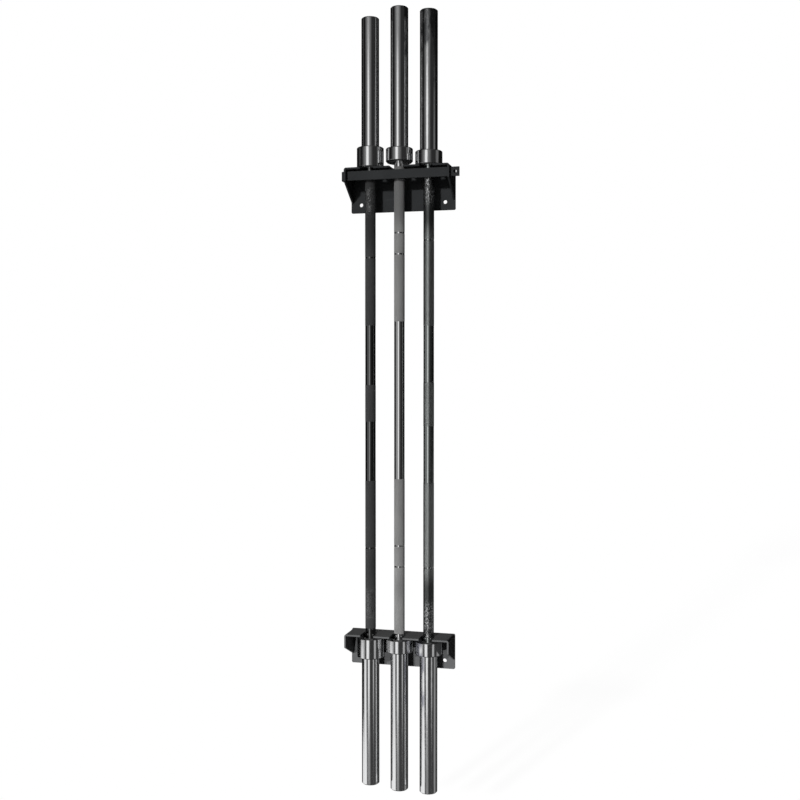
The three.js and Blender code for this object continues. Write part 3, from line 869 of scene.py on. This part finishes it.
class RACK_OT_shafts(Operator):
    """Turns the three shafts, with their knurls, ring marks and plain stretches"""

    bl_idname = "barbell_rack.shafts"
    bl_label = "Shafts"

    def execute(self, context):
        for index, bar in enumerate(BARS):
            low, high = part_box(f"bar_{bar}_shaft")
            middle = (low.z + high.z) / 2
            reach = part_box(f"bar_{bar}_upper_collar")[0].z - middle
            piece = self.shaft(index, bar, middle, reach, high.z - middle)
            rough = sizes().finishes.plain_roughness[index]
            metals = [
                turned_metal(f"{bar}_shaft_plain", f"{bar}_plain", rough, 0.05),
                knurled_metal(f"{bar}_shaft_knurl", index, middle, reach),
            ]
            slot = "satin_shaft" if bar == "middle" else "dark_shaft"
            finish_piece(piece, f"bar_{bar}", slot, metals, f"bar_{bar}_shaft")
        return {"FINISHED"}

    def shaft(self, index, bar, middle, reach, half):
        """Works up the shaft from tip to tip, and marks the knurled faces."""
        size = sizes().barbell
        full = half_width(f"bar_{bar}_shaft")
        plain = full - size.knurl_depth
        slope, soft = 2 * size.knurl_depth, size.soft_edge / 2
        stretches = self.stretches(index, reach - size.neck[index])
        tip = self.tip(bar, middle, reach, half, plain)
        profile = [(radius, middle - height, 0) for radius, height in reversed(tip)]
        for start, stop in stretches:
            profile += [
                (plain, middle + start, soft),
                (full, middle + start + slope, soft),
                (full, middle + stop - slope, soft),
                (plain, middle + stop, soft),
            ]
        profile += [(radius, middle + height, 0) for radius, height in tip]
        piece = turned(f"{bar}_shaft", profile, bar_axis(bar), closed=False)
        for face in piece.data.polygons:
            height = face.center.z - middle
            face.material_index = int(any(start < height < stop for start, stop in stretches))
        return piece

    def stretches(self, index, end):
        """Where the knurls start and stop, counted from the shaft's middle, in order of height."""
        size = sizes().barbell
        rise = size.pattern_rise[index]
        centre = size.centre_knurl[index]
        half = size.mark_width / 2
        marks = [m for m in (size.first_mark[index], size.second_mark[index]) if m]
        found = [(rise - centre, rise + centre)] if centre else []
        for side in (-1, 1):
            edges = [size.knurl_start[index]]
            for mark in marks:
                edges += [mark - half, mark + half]
            edges.append(end - side * rise)
            placed = [rise + side * edge for edge in edges]
            found += [tuple(sorted(pair)) for pair in zip(placed[::2], placed[1::2])]
        return sorted(found)

    def tip(self, bar, middle, reach, half, plain):
        """The journal inside a sleeve, with heights over the shaft's middle."""
        size = sizes().barbell
        low, high = (corner.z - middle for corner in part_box(f"bar_{bar}_upper_snap_ring"))
        shoulder = reach + size.mouth_depth - size.fit
        radius = self.journal_radius(bar)
        groove, chamfer = radius - 4 * size.fit, 2 * size.soft_edge
        return [
            (plain, shoulder),
            (radius, shoulder),
            (radius, low - size.fit),
            (groove, low - size.fit),
            (groove, high + size.fit),
            (radius, high + size.fit),
            (radius, half - chamfer),
            (radius - chamfer, half),
            (0, half),
        ]

    def journal_radius(self, bar):
        """The journal fills the bushings' bore but for the fit."""
        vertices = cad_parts[f"bar_{bar}_upper_inner_bushing"].data.vertices
        x, y = bar_axis(bar)
        bore = min(math.hypot(v.co.x - x, v.co.y - y) for v in vertices)
        return bore - sizes().barbell.fit


class RACK_OT_sleeves(Operator):
    """Turns the six sleeves and sets the pins in them"""

    bl_idname = "barbell_rack.sleeves"
    bl_label = "Sleeves"

    # Directions of the pins that show, in degrees to the right of the wall's normal
    pins = {
        ("left", "upper"): 37,
        ("left", "lower"): 24,
        ("right", "upper"): -1,
        ("right", "lower"): 150,
    }

    def execute(self, context):
        steel = turned_metal("pin_steel", "plain_steel", 0.5)
        for bar, end in SLEEVES:
            metal = sleeve_chrome(bar, end, "sleeve")
            spinning_piece(bar, end, "sleeve", "tube", metal, self.profile(bar, end))
            if (bar, end) in self.pins:
                pin = self.pin(bar, end, math.radians(self.pins[bar, end]))
                finish_piece(pin, f"bar_{bar}_{end}_sleeve", "plain_steel", [steel])
        return {"FINISHED"}

    def profile(self, bar, end):
        size = sizes().barbell
        prefix, out, soft = f"bar_{bar}_{end}", OUTWARD[end], size.soft_edge
        inner, tip = inner_and_outer(f"{prefix}_sleeve", end)
        ledge = inner_and_outer(f"{prefix}_outer_bushing", end)[0] - out * size.fit
        mouth = half_width(f"bar_{bar}_shaft") + size.mouth_gap
        inner_bore = half_width(f"{prefix}_inner_bushing") + size.fit
        outer_bore = half_width(f"{prefix}_outer_bushing") + size.fit
        outer = half_width(f"{prefix}_sleeve")
        floor = inner + out * size.mouth_depth
        return [
            (mouth, inner, soft),
            (outer, inner, soft),
            (outer, tip - out * size.sleeve_chamfer, soft),
            (outer - size.sleeve_chamfer, tip, soft),
            (outer_bore, tip, soft),
            (outer_bore, ledge, 0),
            (inner_bore, ledge, 0),
            (inner_bore, floor, 0),
            (mouth, floor, 0),
        ]

    def pin(self, bar, end, direction):
        """A short pin whose slightly domed head lies in the sleeve's wall."""
        size = sizes().barbell
        prefix = f"bar_{bar}_{end}"
        outer = half_width(f"{prefix}_sleeve")
        height = inner_and_outer(f"{prefix}_sleeve", end)[1] - OUTWARD[end] * size.pin_to_tip
        outward = Vector((math.sin(direction), -math.cos(direction), 0))
        sideways = Vector((outward.y, -outward.x, 0))
        centre = Vector((*bar_axis(bar), height)) + outward * outer
        radius = size.pin / 2
        wall = outer - half_width(f"{prefix}_outer_bushing") - size.fit
        dome = radius / 4
        bm = bmesh.new()
        loops = []
        for r, lift in ((radius, -0.8 * wall), (radius, -dome), (radius - dome, 0)):
            spots = (
                centre + outward * lift + sideways * u + Z * v
                for u, v in circle((0, 0), 2 * r, PIN_SIDES)
            )
            loops.append([bm.verts.new(spot) for spot in spots])
        for low, high in zip(loops, loops[1:]):
            for i in range(PIN_SIDES):
                j = (i + 1) % PIN_SIDES
                bm.faces.new((low[i], low[j], high[j], high[i]))
        bm.faces.new(loops[0])
        bm.faces.new(loops[-1])
        bmesh.ops.recalc_face_normals(bm, faces=bm.faces)
        return piece_from_bmesh(f"{bar}_{end}_pin", bm)


class RACK_OT_collars(Operator):
    """Turns the six collars"""

    bl_idname = "barbell_rack.collars"
    bl_label = "Collars"

    def execute(self, context):
        size = sizes().barbell
        chamfer, foot, soft = size.collar_chamfer, size.collar_foot, size.soft_edge
        for bar, end in SLEEVES:
            node, out = f"bar_{bar}_{end}_collar", OUTWARD[end]
            # Only the lower collars carry painted reflection patches
            metal = sleeve_chrome(bar, end, "collar", scuffed=end == "lower")
            inner, face = inner_and_outer(node, end)
            outer = half_width(node)
            bore = half_width(f"bar_{bar}_{end}_sleeve") + size.fit
            profile = [
                (bore, inner, soft),
                (outer - foot, inner, soft),
                (outer, inner + out * foot, soft),
                (outer, face - out * chamfer, soft),
                (outer - chamfer, face, soft),
                (bore, face, soft),
            ]
            spinning_piece(bar, end, "collar", "ring", metal, profile)
        return {"FINISHED"}


class RACK_OT_end_caps(Operator):
    """Turns the dished caps that close the sleeves"""

    bl_idname = "barbell_rack.end_caps"
    bl_label = "End Caps"

    def execute(self, context):
        size = sizes().barbell
        metal = turned_metal("cap_chrome", "chrome", 0.24)
        for bar, end in SLEEVES:
            node = f"bar_{bar}_{end}_end_cap"
            outer = half_width(node)
            back, face = inner_and_outer(node, end)
            dish = face - OUTWARD[end] * size.cap_dish
            rim, soft = size.cap_rim, size.soft_edge
            profile = [
                (0, back, 0),
                (outer, back, soft),
                (outer, face, 2 * soft),
                (outer - rim, face, soft),
                (outer - rim - size.cap_dish, dish, soft),
                (0, dish, 0),
            ]
            spinning_piece(bar, end, "end_cap", "cap", metal, profile, closed=False)
        return {"FINISHED"}


class RACK_OT_bearings(Operator):
    """Finishes the bushings, washers and snap rings inside the sleeves"""

    bl_idname = "barbell_rack.bearings"
    bl_label = "Bearings"

    def execute(self, context):
        bronze = turned_metal("bushing_bronze", "bronze", 0.34)
        steel = turned_metal("washer_steel", "plain_steel", 0.32)
        for name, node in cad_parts.items():
            metal = bronze if name.endswith("bushing") else steel
            if name.endswith(("bushing", "thrust_washer", "snap_ring")):
                node.data.materials.clear()
                node.data.materials.append(metal)
        return {"FINISHED"}


class RACK_OT_stage(Operator):
    """Sets up the floor, the lamps, the mirror light and the camera"""

    bl_idname = "barbell_rack.stage"
    bl_label = "Stage"

    def execute(self, context):
        self.floor()
        self.lamps()
        self.world()
        self.camera()
        context.scene.view_settings.view_transform = "Standard"
        return {"FINISHED"}

    def floor(self):
        stage = sizes().stage
        half = stage.floor_size / 2
        height = cad_bounds[0].z - stage.floor_drop
        mesh = bpy.data.meshes.new("floor")
        corners = [(-half, -half), (half, -half), (half, half), (-half, half)]
        mesh.from_pydata([(x, y, height) for x, y in corners], [], [(0, 1, 2, 3)])
        floor = new_object("floor", mesh)
        floor.visible_glossy = False
        made, nodes, shader = material("floor_pale")
        nodes.feed(shader, "Base Color", (0.8, 0.8, 0.8, 1))
        nodes.feed(shader, "Roughness", 0.9)
        white = nodes.add("ShaderNodeEmission", {"Strength": stage.floor_white})
        share = nodes.product(nodes.seen(), 1 - stage.floor_shadow)
        inputs = {0: share, 1: shader.outputs[0], 2: white.outputs[0]}
        mix = nodes.add("ShaderNodeMixShader", inputs)
        output = next(n for n in made.node_tree.nodes if n.type == "OUTPUT_MATERIAL")
        nodes.feed(output, "Surface", mix.outputs[0])
        mesh.materials.append(made)

    def lamps(self):
        """Far lamps before and behind the rack, and a near one on its lower end."""
        stage = sizes().stage
        for name in ("key", "back"):
            far = bpy.data.lights.new(name, "SUN")
            far.angle = stage.spread
            far.energy = getattr(stage, f"{name}_strength")
            heading, rise = getattr(stage, f"{name}_heading"), getattr(stage, f"{name}_rise")
            level = math.cos(rise)
            towards = (-math.sin(heading) * level, math.cos(heading) * level, -math.sin(rise))
            self.lamp(far, (0, 0, 0), Vector(towards))
        fill = bpy.data.lights.new("fill", "SPOT")
        fill.spot_size = stage.fill_cone
        fill.spot_blend = 1  # no hard edge
        fill.shadow_soft_size = stage.fill_size / 2
        fill.energy = stage.fill_power
        spot = Vector(stage.fill_place)
        self.lamp(fill, spot, Vector(stage.fill_aim) - spot)

    def lamp(self, light, spot, towards):
        """A lamp that the metal doesn't mirror, because it mirrors the panels."""
        lamp = new_object(light.name, light)
        lamp.location = spot
        lamp.rotation_euler = towards.to_track_quat("-Z", "Y").to_euler()
        lamp.visible_glossy = False
        lamp.visible_camera = False

    def world(self):
        """White behind the rack, even light on it, and white panels in its metal."""
        world = bpy.data.worlds.new("studio")
        bpy.context.scene.world = world
        world.use_nodes = True
        world.cycles.sampling_method = "NONE"
        world.node_tree.nodes.clear()
        nodes = NodeMaker(world.node_tree)
        ray = nodes.add("ShaderNodeTexCoord").outputs["Generated"]
        level_ray = nodes.vector_math("MULTIPLY", ray, (1, 1, 0)).outputs[0]
        heading = nodes.vector_math("NORMALIZE", level_ray).outputs[0]
        rise = nodes.math("ARCSINE", nodes.add("ShaderNodeSeparateXYZ", {0: ray}).outputs[2])
        mirrored = DARK_STUDIO
        for *angles, level in PANELS:
            share = self.panel(nodes, heading, rise, *(math.radians(angle) for angle in angles))
            mirrored = nodes.math("MAXIMUM", nodes.product(share, level), mirrored)
        mirror = nodes.add("ShaderNodeLightPath").outputs["Is Glossy Ray"]
        inputs = {"Factor": mirror, "A": sizes().stage.ambient, "B": mirrored}
        lit = nodes.add("ShaderNodeMix", inputs).outputs[0]
        inputs = {"Factor": nodes.seen(), "A": lit, "B": 1.0}
        seen = nodes.add("ShaderNodeMix", inputs).outputs[0]
        background = nodes.add("ShaderNodeBackground", {"Strength": seen})
        background.inputs["Color"].default_value = (1, 1, 1, 1)
        nodes.add("ShaderNodeOutputWorld", {"Surface": background.outputs[0]})

    def panel(self, nodes, heading, rise, centre, bright, edge, low, high, soft):
        """How far one panel is lit in the direction of a mirrored ray."""
        towards = (math.sin(centre), -math.cos(centre), 0)
        along = nodes.vector_math("DOT_PRODUCT", heading, towards).outputs["Value"]
        limit = nodes.add("ShaderNodeClamp", {"Value": along, "Min": -1.0}).outputs[0]
        side = nodes.step(nodes.math("ARCCOSINE", limit), edge, bright)
        above = nodes.step(rise, low - soft / 2, low + soft / 2)
        below = nodes.step(rise, high + soft / 2, high - soft / 2)
        return nodes.product(above, below, side)

    def camera(self):
        stage = sizes().stage
        camera = bpy.data.cameras.new("camera")
        camera.lens = stage.lens
        camera.sensor_width = 36
        seat = new_object("camera", camera)
        seat.location = stage.camera_place
        seat.rotation_euler = stage.camera_turn
        bpy.context.scene.camera = seat


class RackSettings(PropertyGroup):
    bracket: PointerProperty(type=BracketSizes, name="Brackets", description="Bracket sizes")
    lock_bar: PointerProperty(type=LockBarSizes, name="Lock bar", description="Lock bar sizes")
    barbell: PointerProperty(type=BarbellSizes, name="Barbells", description="Barbell sizes")
    finishes: PointerProperty(type=Finishes, name="Finishes", description="Colours")
    stage: PointerProperty(type=StageSettings, name="Stage", description="Camera and light")


STEPS = (
    RACK_OT_back_plates,
    RACK_OT_shelves,
    RACK_OT_weld_beads,
    RACK_OT_lock_bar,
    RACK_OT_shafts,
    RACK_OT_sleeves,
    RACK_OT_collars,
    RACK_OT_end_caps,
    RACK_OT_bearings,
    RACK_OT_stage,
)


class RACK_PT_pieces(Panel):
    """Lists the steps that build the rack"""

    bl_idname = "RACK_PT_pieces"
    bl_label = "Barbell Rack"
    bl_space_type = "VIEW_3D"
    bl_region_type = "UI"
    bl_category = "Barbell Rack"

    def draw(self, context):
        for step in STEPS:
            self.layout.operator(step.bl_idname)
        for name in ("bracket", "lock_bar", "barbell", "finishes", "stage"):
            group = getattr(context.scene.barbell_rack, name)
            box = self.layout.box()
            for prop in group.bl_rna.properties:
                if not prop.is_readonly and prop.identifier != "name":
                    box.prop(group, prop.identifier)


CLASSES = (
    BracketSizes,
    LockBarSizes,
    BarbellSizes,
    Finishes,
    StageSettings,
    RackSettings,
    *STEPS,
    RACK_PT_pieces,
)


def register():
    for cls in CLASSES:
        bpy.utils.register_class(cls)
    bpy.types.Scene.barbell_rack = PointerProperty(type=RackSettings)


def unregister():
    del bpy.types.Scene.barbell_rack
    for cls in reversed(CLASSES):
        bpy.utils.unregister_class(cls)


def main():
    register()
    for step in STEPS:
        getattr(bpy.ops.barbell_rack, step.bl_idname.split(".")[1])()


if __name__ == "__main__":
    main()
